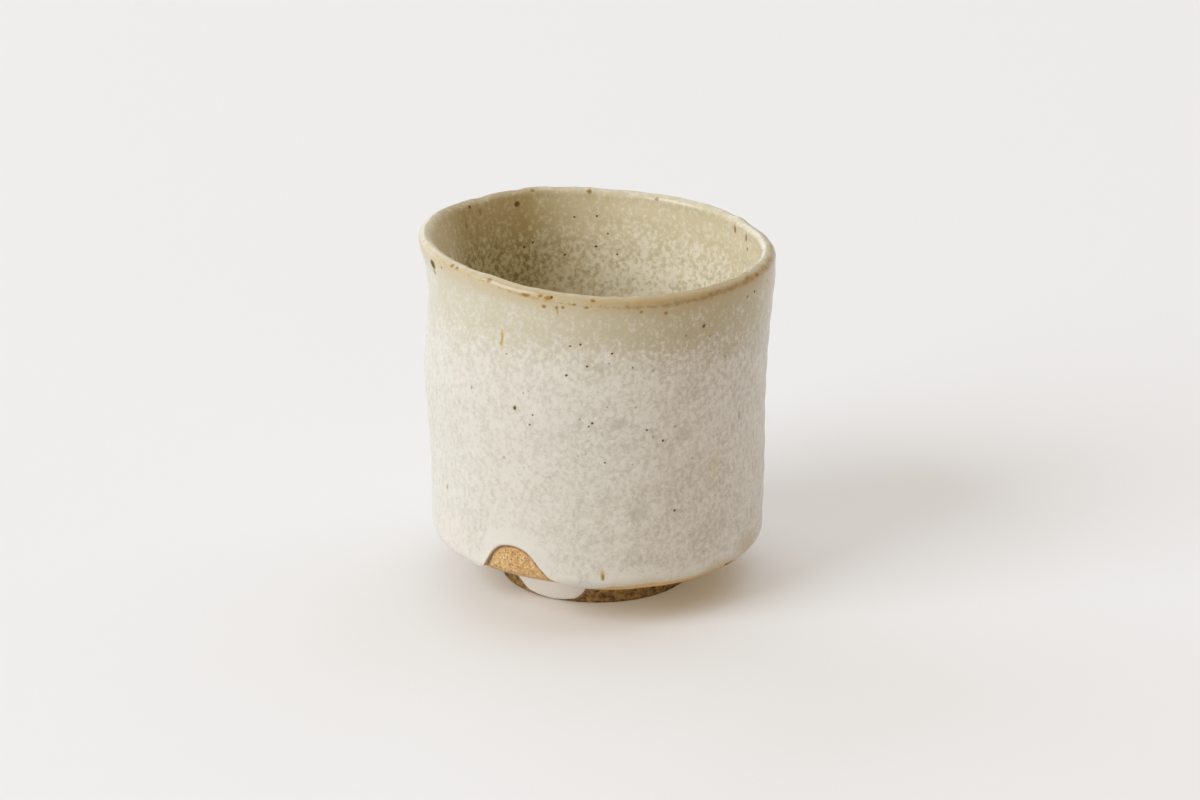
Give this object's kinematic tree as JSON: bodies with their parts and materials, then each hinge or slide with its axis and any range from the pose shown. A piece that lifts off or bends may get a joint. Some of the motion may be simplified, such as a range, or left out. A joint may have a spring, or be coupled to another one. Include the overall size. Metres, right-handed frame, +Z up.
{
  "type": "tea cup",
  "caption": "Hand-thrown stoneware tea cup without a handle: straight wall, leaning wavy lip, milky ash glaze, bare finger mark and a narrow foot ring.",
  "frame": {"origin": "on the table under the cup, at the centre of the foot ring", "axes": "+Z up along the wheel's axis, -Y towards the side with the bare finger mark's right half, +X to the right of that side"},
  "size_m": [0.0791, 0.0791, 0.0806],
  "materials": {
    "bare_stoneware": "bare orange-brown stoneware with pale grog and iron specks, matt",
    "foot_stoneware": "bare toasted brown stoneware, coarse and matt",
    "milky_ash_glaze": "satin milky white ash glaze with fine grey-beige mottling and iron specks",
    "thin_iron_glaze": "thin glossy tan glaze with an iron-brown line on the lip",
    "olive_ash_glaze": "glossy olive-beige ash glaze with white flecks",
    "matt_white_glaze": "matt white glaze"
  },
  "bodies": {
    "root": {"clay_body": "bare_stoneware", "foot_ring": "foot_stoneware", "outer_glaze": "milky_ash_glaze", "lip_glaze": "thin_iron_glaze", "inner_glaze": "olive_ash_glaze", "foot_glaze": "matt_white_glaze"}
  },
  "joints": []
}
